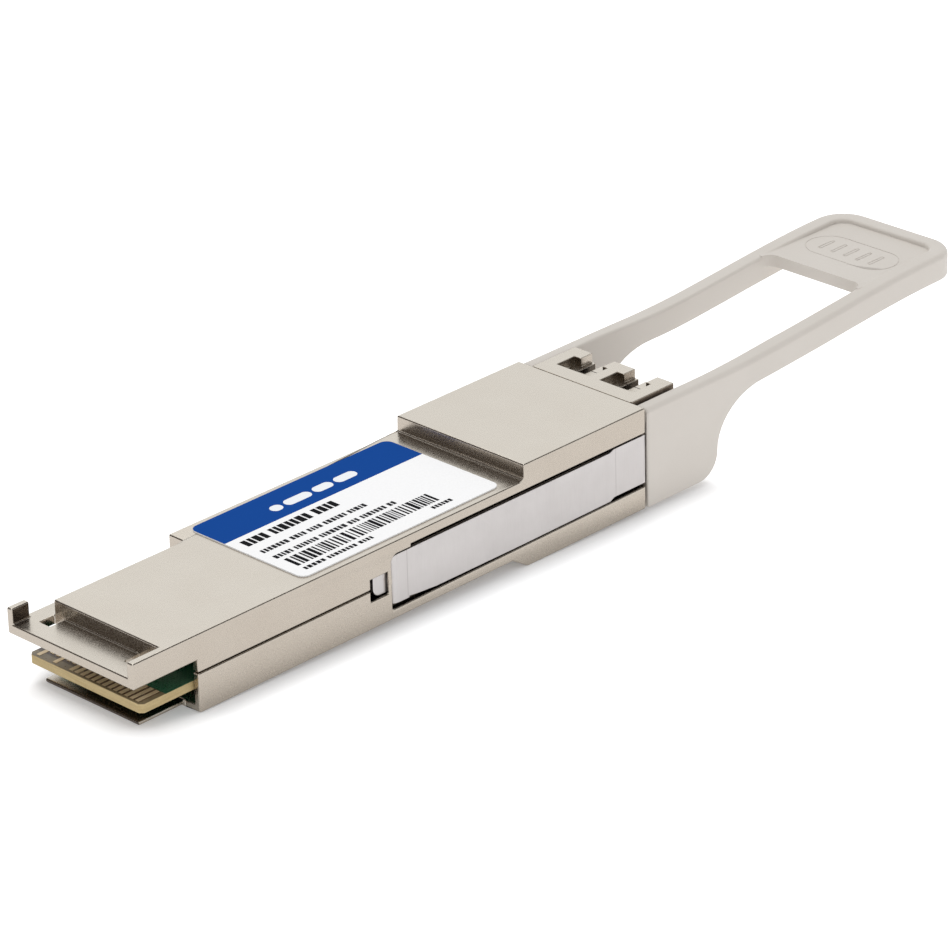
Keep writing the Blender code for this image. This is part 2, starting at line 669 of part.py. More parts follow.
def slider(label, side, finish):
    """One stainless slide: the long plate, its bent nose with the tongue, spring lug and tang."""
    inner_y = SLIDER_OUTER_Y - SLIDER_THICKNESS
    step_x = SLIDER_LOWER_EDGE[-1][0]
    step_end_x = step_x + SLIDER_STEP_LENGTH
    outline = [(SLIDER_BEND_X, SLIDER_FRONT_FOOT_Z)]
    outline += SLIDER_LOWER_EDGE
    outline += [
        (step_end_x, SLIDER_REAR_Z[0]),
        (HEAD_END_X, SLIDER_REAR_Z[0]),
        (HEAD_END_X, SLIDER_REAR_Z[1]),
        (step_end_x, SLIDER_REAR_Z[1]),
        (step_x, SLIDER_TOP_Z),
        (SLIDER_BEND_X, SLIDER_TOP_Z),
    ]
    part = prism(f"slider_{label}", outline, *sided(side, inner_y, SLIDER_OUTER_Y), "y", finish)
    lap = 0.2
    outer_radius = (SLIDER_NOSE_RADIUS, SLIDER_NOSE_RADIUS)
    inner_radius = (SLIDER_NOSE_RADIUS - SLIDER_THICKNESS,) * 2
    centre = (SLIDER_NOSE_X + SLIDER_NOSE_RADIUS, SLIDER_OUTER_Y - SLIDER_NOSE_RADIUS)
    overlap_x = SLIDER_BEND_X + lap
    nose = [(overlap_x, SLIDER_OUTER_Y)]
    nose += arc(centre, outer_radius, 90.0, SLIDER_NOSE_SWEEP, 5)
    nose += arc(centre, inner_radius, SLIDER_NOSE_SWEEP, 90.0, 5)
    nose += [(overlap_x, inner_y)]
    nose = [(x, side * y) for x, y in nose]
    nose_z = (SLIDER_FRONT_FOOT_Z + 0.02, SLIDER_TOP_Z - 0.02)
    front_plate = prism(f"slider_nose_{label}", nose, *nose_z, "z")
    tongue_y = sided(side, *TONGUE_Y)
    tongue = prism(f"slider_tongue_{label}", tongue_outline(), *tongue_y, "y")
    neck_x = (TONGUE_X[1] - lap, TONGUE_NECK_END_X)
    neck_y = sided(side, TONGUE_Y[0] + 0.02, TONGUE_Y[1] - 0.02)
    neck = box(f"slider_neck_{label}", neck_x, neck_y, TONGUE_NECK_Z)
    lug_y = sided(side, LUG_INNER_Y, inner_y + lap)
    lug = box(f"slider_lug_{label}", LUG_X, lug_y, (CHANNEL_Z[0] + 0.15, CHANNEL_Z[1] - 0.15))
    joggle_x = (TANG_X[0], HEAD_END_X - 0.1)
    joggle = box(f"slider_joggle_{label}", joggle_x, sided(side, TANG_Y[0], inner_y + lap), TANG_Z)
    tang_z = (TANG_Z[0] + 0.1, TANG_Z[1] - 0.1)
    tang_x = (TANG_X[0] + lap, TANG_X[1])
    tang = box(f"slider_tang_{label}", tang_x, sided(side, *TANG_Y), tang_z)
    add(part, front_plate, tongue, neck, lug, joggle, tang)
    foot_z = SLIDER_FRONT_FOOT_Z + 0.02
    cut(
        part,
        corner_cutter(f"slider_top_corner_{label}", SLIDER_TOP_Z, SLIDER_TOP_CORNER, 1.0),
        corner_cutter(f"slider_foot_corner_{label}", foot_z, SLIDER_FOOT_CORNER, -1.0),
    )
    return part


def spring(label, side, finish):
    """A compression spring behind the slide, as one closed coil of wire along x."""
    start = LUG_X[1] + 0.1 + SPRING_WIRE_RADIUS
    end = CHANNEL_X[1] - 0.1 - SPRING_WIRE_RADIUS
    steps = SPRING_TURNS * SPRING_STEPS_PER_TURN
    path = []
    for step in range(steps + 1):
        share = step / steps
        angle = 2.0 * math.pi * SPRING_TURNS * share
        path.append((
            (start + (end - start) * share) * MM,
            (side * SPRING_Y + SPRING_COIL_RADIUS * math.cos(angle)) * MM,
            (SPRING_Z + SPRING_COIL_RADIUS * math.sin(angle)) * MM,
        ))
    curve = bpy.data.curves.new(f"slider_spring_{label}", "CURVE")
    curve.dimensions = "3D"
    curve.bevel_depth = SPRING_WIRE_RADIUS * MM
    curve.bevel_resolution = 1
    curve.use_fill_caps = True
    spline = curve.splines.new("POLY")
    spline.points.add(steps)
    for point, where in zip(spline.points, path):
        point.co = (*where, 1.0)
    curve.materials.append(finish)
    made = bpy.data.objects.new(f"slider_spring_{label}", curve)
    bpy.context.scene.collection.objects.link(made)
    return made


def tab_section(x):
    """Heights and distances from the centre line of one arm of the pull tab, at x."""
    rise = TAB_RISE * blend(x, *TAB_RISE_X)
    top = TAB_CHEEK_Z[1] + rise
    arm_under = TAB_ARM_UNDER_Z + rise
    toe_z = TAB_CHEEK_Z[0] + TAB_TOE_RADIUS
    toe_start = TAB_TOE_X - TAB_TOE_RADIUS
    if x <= toe_start:
        under = TAB_CHEEK_Z[0]
    elif x <= TAB_TOE_X:
        under = toe_z - math.sqrt(max(0.0, TAB_TOE_RADIUS ** 2 - (x - toe_start) ** 2))
    elif x < TAB_TOE_X + TAB_THROAT_LENGTH:
        share = 1.0 - (x - TAB_TOE_X) / TAB_THROAT_LENGTH
        under = toe_z + (TAB_ARM_UNDER_Z - toe_z) * math.sqrt(1.0 - share * share)
        under += arm_under - TAB_ARM_UNDER_Z
    else:
        under = arm_under
    outer = TAB_OUTER_Y[0] + (TAB_OUTER_Y[1] - TAB_OUTER_Y[0]) * blend(x, *TAB_OUTER_X)
    inner = TAB_INNER_Y[0] + (TAB_INNER_Y[1] - TAB_INNER_Y[0]) * blend(x, *TAB_INNER_X)
    return under, top, outer, inner


def tab_stations():
    """Where the arm's sections stand along x: closer together round the cheek's rear edge."""
    toe_start = TAB_TOE_X - TAB_TOE_RADIUS
    stations = [TAB_FRONT_X, TAB_FRONT_X + TAB_FRONT_BEVEL, toe_start - 2.5]
    for step in range(9):
        stations.append(toe_start + TAB_TOE_RADIUS * math.sin(math.radians(11.2 * step)))
    for step in range(1, 12):
        angle = math.radians(90.0 * step / 11)
        stations.append(TAB_TOE_X + TAB_THROAT_LENGTH * (1.0 - math.cos(angle)))
    arm_start = TAB_TOE_X + TAB_THROAT_LENGTH
    arm_end = TAB_END_X - TAB_CORNER_RADIUS
    arm_steps = 16
    for step in range(1, arm_steps + 1):
        stations.append(arm_start + (arm_end - arm_start) * step / arm_steps)
    return stations


def tab_ring(under, top, outer, inner):
    """The closed section of an arm, as distances from the centre line and heights."""
    far = TAB_OUTER_EDGE_RADIUS
    near = TAB_INNER_EDGE_RADIUS
    ring = [(outer, under)]
    ring += arc((outer - far, top - far), (far, far), 0.0, 90.0, 5)
    ring += arc((inner + near, top - near), (near, near), 90.0, 180.0, 3)
    ring.append((inner, under))
    return ring


def tab_rings():
    """Sections of the tab all the way round, from one cheek to the other."""
    rings = []
    for x in tab_stations():
        under, top, outer, inner = tab_section(x)
        if x == TAB_FRONT_X:
            outer -= TAB_FRONT_BEVEL
            top -= TAB_FRONT_BEVEL
        rings.append([(x, -distance, z) for distance, z in tab_ring(under, top, outer, inner)])
    section = tab_section(TAB_END_X)
    pivot = section[2] - TAB_CORNER_RADIUS
    pivot_x = TAB_END_X - TAB_CORNER_RADIUS
    corner_steps = 10
    for step in range(1, corner_steps + 1):
        angle = math.radians(90.0 * step / corner_steps)
        rings.append([
            (pivot_x + (distance - pivot) * math.sin(angle), -pivot - (distance - pivot) * math.cos(angle), z)
            for distance, z in tab_ring(*section)
        ])
    return rings + [[(x, -y, z) for x, y, z in ring] for ring in reversed(rings)]


def pull_tab(finish):
    """The moulded tab: a cheek and an arm on each side, and the finger end that joins them."""
    rings = tab_rings()
    inner = tab_section(TAB_END_X)[3]
    points = [point for ring in rings for point in ring]
    size = len(rings[0])
    last = (len(rings) - 1) * size
    faces = [list(range(size)), [last + index for index in range(size)]]
    for ring in range(len(rings) - 1):
        for index in range(size):
            after = (index + 1) % size
            first = ring * size
            faces.append([first + index, first + after, first + size + after, first + size + index])
    part = smooth(mesh_object("pull_tab", points, faces, finish))

    bury = 0.4
    side = inner + bury
    fillet = TAB_PLATE_FILLET
    hug = 0.03
    edge = inner + hug
    lead = TAB_PLATE_X[0] - fillet
    plate = [(lead, -side), (lead, -edge)]
    plate += arc((lead, -edge + fillet), (fillet, fillet), -75.0, 0.0, 5)
    plate += [(x, -y) for x, y in reversed(plate)]
    plate += [(TAB_PLATE_X[1], side), (TAB_PLATE_X[1], -side)]
    add(part, prism("tab_plate", plate, *TAB_PLATE_Z, "z"))
    slot_x = (TAB_FRONT_X - OVER, TAB_SLOT_END_X)
    for label, sign in SIDES:
        cut(part, box(f"tab_slot_{label}", slot_x, sided(sign, *TAB_SLOT_Y), TAB_SLOT_Z))
    return part


def carried(pieces):
    """Parent the moving pieces to an empty on the line of the release slide."""
    axis = bpy.data.objects.new("release_slide_axis", None)
    axis.location = (HEAD_END_X * MM, 0.0, LC_AXIS_Z * MM)
    bpy.context.scene.collection.objects.link(axis)
    for piece in pieces:
        piece.parent = axis
        piece.location = [-value for value in axis.location]


def main():
    for old in list(bpy.data.objects):
        bpy.data.objects.remove(old, do_unlink=True)
    nickel = material("nickel_plate", (0.67, 0.62, 0.56), 0.3, 1.0)
    stainless = material("stainless", (0.68, 0.66, 0.64), 0.32, 1.0)
    plastic = material("tab_plastic", (0.63, 0.59, 0.53), 0.5, 0.0)
    laminate = material("laminate", (0.02, 0.1, 0.05), 0.4, 0.0)
    black = material("package_black", (0.02, 0.02, 0.022), 0.5, 0.0)
    ceramic = material("ceramic", (0.55, 0.52, 0.47), 0.45, 0.0)
    ferrite = material("ferrite", (0.09, 0.09, 0.1), 0.6, 0.0)
    gap_pad = material("gap_pad", (0.35, 0.45, 0.62), 0.8, 0.0)
    gold = material("gold_plate", (0.8, 0.6, 0.25), 0.3, 1.0)
    steel = material("barrel_steel", (0.6, 0.6, 0.6), 0.25, 1.0)
    zirconia = material("zirconia", (0.85, 0.85, 0.82), 0.3, 0.0)
    film = material("flex_film", (0.55, 0.3, 0.08), 0.4, 0.0)
    paper = material("label_film", (0.85, 0.87, 0.9), 0.5, 0.0)

    upper_housing(nickel)
    lower_housing(nickel)
    circuit_board(laminate)
    board_components(black, ceramic, ferrite)
    thermal_pads(gap_pad)
    optical_subassembly("tosa", -1, gold, steel, zirconia, film)
    optical_subassembly("rosa", 1, gold, steel, zirconia, film)
    barrel_clamp(stainless)
    lc_receptacle(nickel)
    screws(steel)
    top_label(paper)
    moving = [pull_tab(plastic)]
    for label, side in SIDES:
        moving.append(slider(label, side, stainless))
        spring(label, side, steel)
    carried(moving)


main()
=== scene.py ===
"""Looks of the pluggable optical transceiver module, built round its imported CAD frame.

The frame's axes: +X runs towards the optical end and the pull tab, +Y is the far side, +Z is up.
Sizes below are in millimetres, and MM turns them into metres.
"""
import math
import random

import bmesh
import bpy
from mathutils import Matrix, Vector


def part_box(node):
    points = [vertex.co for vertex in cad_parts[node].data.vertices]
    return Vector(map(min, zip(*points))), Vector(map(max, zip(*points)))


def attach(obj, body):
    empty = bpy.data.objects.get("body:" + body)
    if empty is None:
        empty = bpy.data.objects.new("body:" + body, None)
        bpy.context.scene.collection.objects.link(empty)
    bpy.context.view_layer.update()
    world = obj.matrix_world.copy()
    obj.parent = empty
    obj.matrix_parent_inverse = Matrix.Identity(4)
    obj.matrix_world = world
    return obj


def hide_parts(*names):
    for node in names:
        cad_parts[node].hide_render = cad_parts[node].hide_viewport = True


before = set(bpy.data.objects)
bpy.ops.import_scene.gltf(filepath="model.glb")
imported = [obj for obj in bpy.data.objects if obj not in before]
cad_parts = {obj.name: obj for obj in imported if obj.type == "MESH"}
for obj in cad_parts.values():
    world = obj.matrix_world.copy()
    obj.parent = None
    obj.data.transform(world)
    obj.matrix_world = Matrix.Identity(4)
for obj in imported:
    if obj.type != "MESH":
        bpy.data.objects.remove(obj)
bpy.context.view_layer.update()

MM = 0.001

# Camera, as it stands to the module
CAMERA_AT = (-315.137, -315.203, 218.544)
CAMERA_AZIMUTH = -45.189
CAMERA_ELEVATION = 25.472
CAMERA_ROLL = -1.549
CAMERA_LENS = 180.0
CAMERA_SENSOR = 36.0
CAMERA_REACH = (0.01, 20.0)

# Painted shade: darker tones of the plating for corners and faces that see little light
DEEP_SHADE = (0.09, 0.075, 0.06)
DIM_SHADE = (0.15, 0.125, 0.105)
SHADED = (0.27, 0.23, 0.195)

# Where that painted shade lies: x, y and z ranges, each with the softness of its ends
SIDE_RECESSES = ((-22.4, 18.4, 0.05), (-9.0, 9.0, 0.06), (0.97, 7.4, 0.03))
CORNER_TAB_INSIDE = ((-53.9, -51.8, 0.06), (8.33, 8.5, 0.03), (6.86, 8.4, 0.08))
UNDER_PLATE_FRONT = ((-51.8, -51.62, 0.02), (-6.8, 6.8, 0.04), (0.16, 0.62, 0.03))
UNDER_PLATE_TOP = ((-51.66, -44.0, 0.04), (-6.8, 3.5, 0.04, 2.5), (0.5, 0.62, 0.03))
LATCH_FACES = ((23.3, 23.45, 0.02), (-7.0, 7.0, 0.1), (9.0, 10.2, 0.04))
LATCH_SLOT_NEAR = ((22.3, 25.1, 0.04), (-3.2, -2.1, 0.03), (5.0, 9.2, 0.02))
LATCH_SLOT_FAR = ((22.3, 25.1, 0.04), (3.05, 4.15, 0.03), (5.0, 9.2, 0.02))
RECEPTACLE_SIDE = ((18.6, 25.3, 0.05), (-7.3, -7.1, 0.02), (4.0, 10.2, 0.04))

# Darker laminate between the card's contacts
GAP_TONE = (0.085, 0.048, 0.02)
CARD_GAPS_FAR = ((-51.4, -49.2, 0.1), (1.0, 8.3, 0.1), (3.0, 6.0, 0.1))
CARD_GAPS_NEAR = ((-52.15, -49.2, 0.06), (-7.6, 1.1, 0.1), (3.0, 6.0, 0.1))

# Bend lines across the slides, painted as darker lines of shade: place and width
SLIDE_CREASES = ((-17.0, 0.06), (13.95, 0.05))
CREASE_SHADE = (0.38, 0.35, 0.34)
CREASE_SOFT = 0.05

# What the module lies on: the plate under the card in front, the foot of the head behind
REST_FRONT = (-51.7, 0.1)
REST_REAR = (0.35, -1.4)
FLOOR_SIZE = 6000.0
FLOOR_COLOUR = (0.85, 0.855, 0.87)

# The floor's glow, dimmed near the module to paint a contact shadow: its level close to the
# module, away from it, and its share in mirrored rays
FLOOR_SHADOW_GLOW = (0.16, 0.55, 0.55)
GLOW_REACH = 4.0
GLOW_OPENNESS = (0.55, 0.95)

# Light: even from all round, and the room that the metal mirrors, bright along one diagonal
EVEN_LIGHT = 0.745
ROOM_LIGHT = 1.26
ROOM_AXIS = (0.7071, 0.7071, 0.0)
ROOM_RAMP = ((0.3, (0.06, 0.05, 0.046)), (0.7, (0.93, 0.97, 1.0)))

# Bright panels in that room: a direction, and the cosines where its glow begins and is full
ROOM_PANELS = (
    ((0.0, 0.0, 1.0), 0.82, 0.97),
    ((0.7071, -0.7071, 0.0), 0.9, 0.98),
)

# The lamp over the module
SOFTBOX_AT = (150.0, 240.0, 640.0)
SOFTBOX_AIM = (5.0, 0.0, 0.0)
SOFTBOX_SIZE = 300.0
SOFTBOX_POWER = 1.4

# Edge rounding of the pieces
CASTING_EDGE = 0.18
SHEET_EDGE = 0.06
PORT_EDGE = 0.07
BOARD_EDGE = 0.04
EDGE_SEGMENTS = 3
LONG_EDGE = 8.0
ROOM_SHARE = 0.45

# Vertices closer than this are made one; the wider gap closes the slivers of the upper casting
WELD = 0.002
SLIVER = 0.045

# Angles: faces that count as one flat, edges that stay sharp, and, as a cosine, edges that run on
FLAT = math.radians(0.4)
SHARP = math.radians(24.0)
TAB_SHARP = math.radians(35.0)
ALONG = math.cos(math.radians(35.0))

# Card contacts, counted from the near side; past SIGNALS_SHORT_FROM, signal contacts are shorter
CONTACT_COUNT = 19
CONTACT_PITCH = 0.8
CONTACT_WIDTH = 0.48
CONTACT_FRONT = 0.35
CONTACT_LENGTH = 2.75
CONTACT_THICKNESS = 0.035
CONTACT_SHORT = 1.1
SIGNAL_GROUP = 3
SIGNALS_SHORT_FROM = 11

# Where the card's green mask starts behind the contacts, and the rise below which a face is a side
MASK_GAP = 0.1
MASK_SOFT = 0.02
SIDE_RISE = 0.5

# Seals: between the head and the receptacle's flange, and in the seam beside each latch window
BRIDGE_X = (-19.74, -19.31)
BRIDGE_Y = (-9.173, -8.96)
BRIDGE_Z = (4.02, 4.5)
SEAL_WIDTH = 0.25
SEAL_CLEAR = 0.01
SEAL_Y = (-7.0, 7.0)
SEAL_Z = (9.4, 10.295)

# Label: the lower edge of the coloured band, corners, and how deep the film and the print reach
LABEL_BAND_Y = 3.0
LABEL_CORNER = 1.0
LABEL_LIFT = 0.045
PRINT_LIFT = 0.012
LABEL_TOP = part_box("top_label")[1].z / MM
PRINT_Z = (LABEL_TOP - PRINT_LIFT, LABEL_TOP + PRINT_LIFT)

# Greeked print: blocks to a word, how much their widths vary, and the space after a word
WORD_BLOCKS = (3, 8)
BLOCK_SPREAD = (0.6, 1.1)
WORD_SPACE = 0.7

# The inks of the print, as material indices
BLACK, GREY, TEXT, WHITE = range(4)

# Lines of greeked print: x range, y range, block width, gap, ink and random seed
PRINT_LINES_ABOVE = (
    ((-29.4, -15.8), (0.75, 2.15), 0.72, 0.2, BLACK, 3),
    ((-29.4, -14.9), (-1.5, -0.75), 0.42, 0.16, TEXT, 5),
    ((-29.4, -12.2), (-3.35, -2.6), 0.42, 0.16, TEXT, 7),
)
PRINT_LINES_BELOW = (
    ((-29.1, -19.1), (-7.25, -6.65), 0.45, 0.16, BLACK, 13),
    ((-11.0, -8.1), (-7.15, -6.55), 0.42, 0.14, BLACK, 17),
)

# Row of upright stripes between them
STRIPES_X = (-29.1, -9.1)
STRIPES_Y = (-6.05, -3.95)
STRIPES_SEED = 11
STRIPE_RUN = (2, 5)
STRIPE_WIDTHS = (0.16, 0.24, 0.34, 0.46)
STRIPE_GAPS = (0.16, 0.22, 0.32)
BLACK_SHARE = 0.62

# White bars in the coloured band
PILLS_START_X = -22.2
PILLS_Y = (4.45, 5.75)
PILL_LENGTHS = (1.5, 3.6, 2.6, 3.0)
PILL_GAP = 0.45

# Engraving on the pull tab's plate: a stadium round a row of plain bars
GRIP_CENTRE = (62.85, -0.1)
GRIP_HALF_LENGTH = 6.0
GRIP_RADIUS = 2.7
GRIP_LINE = 0.12
GRIP_DEPTH = 0.05
GRIP_BARS = 5
GRIP_BAR_PITCH = 1.8
GRIP_BAR_LENGTH = 2.7
GRIP_BAR_WIDTH = 0.5
GRIP_CUT_ABOVE = 0.3
TAB_PLATE_TOP = 11.3

# Corners of a box's faces, as block() numbers them
BOX_FACES = (
    (0, 1, 3, 2),
    (4, 6, 7, 5),
    (0, 4, 5, 1),
    (2, 3, 7, 6),
    (0, 2, 6, 4),
    (1, 5, 7, 3),
)

# Where the tab's plate grows out of its arms: kept flat-shaded
PLATE_ROOT_X = (54.0, 57.5)
PLATE_ROOT_Y = (6.3, 7.25)


# ---------------------------------------------------------------- materials


class Finish:
    """A node material that is filled in step by step."""

    def __init__(self, name, colour, roughness, metallic=0.0):
        self.material = bpy.data.materials.new(name)
        self.material.use_nodes = True
        self.nodes = self.material.node_tree.nodes
        self.links = self.material.node_tree.links
        self.shader = self.nodes["Principled BSDF"]
        self.shader.inputs["Base Color"].default_value = (*colour, 1.0)
        self.shader.inputs["Roughness"].default_value = roughness
        self.shader.inputs["Metallic"].default_value = metallic
        self.material.diffuse_color = (*colour, 1.0)

    def place(self, stretch=(1.0, 1.0, 1.0)):
        """The piece's own coordinates, stretched."""
        where = self.nodes.new("ShaderNodeTexCoord")
        mapping = self.nodes.new("ShaderNodeMapping")
        mapping.inputs["Scale"].default_value = stretch
        self.links.new(where.outputs["Object"], mapping.inputs["Vector"])
        return mapping.outputs["Vector"]

    def noise(self, cell, detail=2.0, stretch=(1.0, 1.0, 1.0)):
        """Noise with cells of a given size in millimetres."""
        noise = self.nodes.new("ShaderNodeTexNoise")
        noise.inputs["Scale"].default_value = 1.0 / (cell * MM)
        noise.inputs["Detail"].default_value = detail
        self.links.new(self.place(stretch), noise.inputs["Vector"])
        return noise.outputs["Fac"]

    def remap(self, value, low, high, source=(0.3, 0.7)):
        """A value brought from its source range to low and high."""
        remap = self.nodes.new("ShaderNodeMapRange")
        remap.inputs["From Min"].default_value = source[0]
        remap.inputs["From Max"].default_value = source[1]
        remap.inputs["To Min"].default_value = low
        remap.inputs["To Max"].default_value = high
        self.links.new(value, remap.inputs["Value"])
        return remap.outputs["Result"]

    def blend(self, factor, first, second):
        """Two colours, or colour outputs, mixed by a factor."""
        mix = self.nodes.new("ShaderNodeMix")
        mix.data_type = "RGBA"
        self.links.new(factor, mix.inputs["Factor"])
        for socket, colour in (("A", first), ("B", second)):
            entry = [s for s in mix.inputs if s.name == socket and s.type == "RGBA"][0]
            if isinstance(colour, tuple):
                entry.default_value = (*colour, 1.0)
            else:
                self.links.new(colour, entry)
        return [s for s in mix.outputs if s.type == "RGBA"][0]

    def part_of(self, axis, low, high, soft, fade=None):
        """1 inside a range of millimetres along one axis, 0 outside it, with soft ends."""
        apart = self.nodes.new("ShaderNodeSeparateXYZ")
        self.links.new(self.place(), apart.inputs["Vector"])
        along = apart.outputs[axis]
        end = soft if fade is None else fade
        rise = self.remap(along, 0.0, 1.0, ((low - soft) * MM, (low + soft) * MM))
        fall = self.remap(along, 1.0, 0.0, ((high - end) * MM, (high + end) * MM))
        return self.times(rise, fall)

    def inside(self, x, y, z):
        """1 inside a box; each range is low, high, softness and, if it differs, the high end's."""
        flat = self.times(self.part_of("X", *x), self.part_of("Y", *y))
        return self.times(flat, self.part_of("Z", *z))

    def times(self, first, second):
        """The product of two values."""
        both = self.nodes.new("ShaderNodeMath")
        both.operation = "MULTIPLY"
        self.links.new(first, both.inputs[0])
        self.links.new(second, both.inputs[1])
        return both.outputs["Value"]

    def matt(self, level):
        """How strongly the surface mirrors at a glance."""
        self.shader.inputs["Specular IOR Level"].default_value = level

    def colour(self, output):
        """The colour, from an output."""
        self.links.new(output, self.shader.inputs["Base Color"])

    def shadowed_glow(self, levels):
        """Emission that is weaker close to other things, painting a contact shadow, and weakest of
        all in mirrored rays.
        """
        nearby = self.nodes.new("ShaderNodeAmbientOcclusion")
        nearby.inputs["Distance"].default_value = GLOW_REACH * MM
        level = self.remap(nearby.outputs["AO"], levels[0], levels[1], GLOW_OPENNESS)
        path = self.nodes.new("ShaderNodeLightPath")
        mirrored = self.remap(path.outputs["Is Glossy Ray"], 1.0, levels[2], (0.0, 1.0))
        return self.times(level, mirrored)

    def roughness(self, output):
        """The roughness, from an output."""
        self.links.new(output, self.shader.inputs["Roughness"])

    def bump(self, height, strength, depth):
        """Relief from a height output; depth is in millimetres."""
        bump = self.nodes.new("ShaderNodeBump")
        bump.inputs["Strength"].default_value = strength
        bump.inputs["Distance"].default_value = depth * MM
        self.links.new(height, bump.inputs["Height"])
        self.links.new(bump.outputs["Normal"], self.shader.inputs["Normal"])


def nickel():
    """Satin nickel plate over a zinc die casting: fine grain, cloudy tone, uneven sheen, and
    painted shade in its recesses and shaded corners.
    """
    finish = Finish("nickel", (0.53, 0.47, 0.4), 0.2, 1.0)
    grain = finish.noise(0.14, 3.0)
    cloud = finish.remap(finish.noise(5.0, 3.0), 0.0, 1.0)
    plate = finish.blend(cloud, (0.525, 0.465, 0.395), (0.54, 0.482, 0.412))
    # Painted shade: darker plating in the side recesses, latch faces and slots, the corner by the
    # nose tab, under the front plate and on the receptacle's near side
    for tone, places in (
        (DEEP_SHADE, (SIDE_RECESSES, LATCH_FACES, LATCH_SLOT_NEAR, LATCH_SLOT_FAR)),
        (DIM_SHADE, (CORNER_TAB_INSIDE, UNDER_PLATE_FRONT, UNDER_PLATE_TOP)),
        (SHADED, (RECEPTACLE_SIDE,)),
    ):
        for place in places:
            plate = finish.blend(finish.inside(*place), plate, tone)
    finish.colour(plate)
    finish.roughness(finish.remap(grain, 0.2, 0.32))
    finish.bump(grain, 0.22, 0.004)
    return finish.material


def stainless():
    """Rolled stainless sheet with fine lines across the strip, and painted shade along its bend
    lines.
    """
    finish = Finish("stainless", (0.7, 0.665, 0.65), 0.3, 1.0)
    lines = finish.noise(0.12, 3.0, (1.0, 1.0, 0.06))
    cloud = finish.remap(finish.noise(3.0, 2.0), 0.0, 1.0)
    sheet = finish.blend(cloud, (0.585, 0.555, 0.54), (0.615, 0.585, 0.57))
    # Painted shade: each bend line is drawn as a darker line
    for x, width in SLIDE_CREASES:
        crease = finish.part_of("X", x - width / 2, x + width / 2, CREASE_SOFT)
        sheet = finish.blend(crease, sheet, CREASE_SHADE)
    finish.colour(sheet)
    finish.roughness(finish.remap(lines, 0.28, 0.44))
    finish.bump(lines, 0.25, 0.004)
    return finish.material


def tab_plastic():
    """Pale moulded plastic with a fine spark-eroded texture."""
    finish = Finish("tab_plastic", (0.63, 0.588, 0.53), 0.5)
    finish.matt(0.25)
    texture = finish.noise(0.14, 2.0)
    cloud = finish.remap(finish.noise(7.0, 2.0), 0.0, 1.0)
    finish.colour(finish.blend(cloud, (0.61, 0.568, 0.52), (0.625, 0.584, 0.536)))
    finish.roughness(finish.remap(texture, 0.42, 0.58))
    finish.bump(texture, 0.25, 0.006)
    return finish.material


def solder_mask():
    """Green mask over copper traces, bare laminate at the card's edge."""
    finish = Finish("solder_mask", (0.012, 0.07, 0.035), 0.3)
    brick = finish.nodes.new("ShaderNodeTexBrick")
    brick.inputs["Scale"].default_value = 1.0 / (1.2 * MM)
    brick.inputs["Mortar Size"].default_value = 0.06
    brick.inputs["Color1"].default_value = (0.009, 0.06, 0.03, 1.0)
    brick.inputs["Color2"].default_value = (0.012, 0.075, 0.038, 1.0)
    brick.inputs["Mortar"].default_value = (0.03, 0.14, 0.07, 1.0)
    finish.links.new(finish.place(), brick.inputs["Vector"])
    bare = finish.nodes.new("ShaderNodeSeparateXYZ")
    finish.links.new(finish.place(), bare.inputs["Vector"])
    card_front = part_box("circuit_board")[0].x
    mask_start = card_front + (CONTACT_FRONT + CONTACT_LENGTH + MASK_GAP) * MM
    mask_edge = (mask_start - MASK_SOFT * MM, mask_start + MASK_SOFT * MM)
    edge = finish.remap(bare.outputs["X"], 1.0, 0.0, mask_edge)
    weave = finish.noise(0.3, 2.0)
    resin = finish.blend(weave, (0.2, 0.15, 0.08), (0.3, 0.23, 0.13))
    # Darker laminate over the contact area
    for gaps in (CARD_GAPS_FAR, CARD_GAPS_NEAR):
        resin = finish.blend(finish.inside(*gaps), resin, GAP_TONE)
    finish.colour(finish.blend(edge, brick.outputs["Color"], resin))
    finish.roughness(finish.remap(weave, 0.25, 0.4))
    finish.bump(brick.outputs["Fac"], 0.3, 0.01)
    return finish.material


def laminate_edge():
    """The routed edge of the laminate, with its glass layers."""
    finish = Finish("laminate_edge", (0.5, 0.38, 0.19), 0.6)
    layers = finish.noise(0.16, 2.0, (0.05, 0.05, 1.0))
    fibres = finish.noise(0.2, 3.0)
    base = finish.blend(finish.remap(layers, 0.0, 1.0), (0.44, 0.33, 0.15), (0.56, 0.44, 0.22))
    finish.colour(finish.blend(finish.remap(fibres, 0.0, 0.35), base, (0.3, 0.21, 0.1)))
    finish.bump(fibres, 0.4, 0.01)
    return finish.material


def plated_gold(name="contact_gold", colour=(0.8, 0.63, 0.4), metallic=0.4):
    """Hard gold plate with faint wear."""
    finish = Finish(name, colour, 0.25, metallic)
    wear = finish.noise(1.1, 2.0)
    finish.colour(finish.blend(finish.remap(wear, 0.0, 0.3), colour, (0.6, 0.42, 0.2)))
    finish.roughness(finish.remap(wear, 0.36, 0.48))
    return finish.material


def moulded(name, colour, cell=0.08, roughness=(0.4, 0.6), relief=0.006):
    """A moulded or pressed surface with a fine grain and a little uneven tone."""
    finish = Finish(name, colour, sum(roughness) / 2)
    grain = finish.noise(cell, 3.0)
    cloud = finish.noise(cell * 20.0, 2.0)
    darker = tuple(value * 0.86 for value in colour)
    lighter = tuple(min(1.0, value * 1.1) for value in colour)
    finish.colour(finish.blend(finish.remap(cloud, 0.0, 1.0), darker, lighter))
    finish.roughness(finish.remap(grain, *roughness))
    finish.bump(grain, 0.4, relief)
    return finish.material


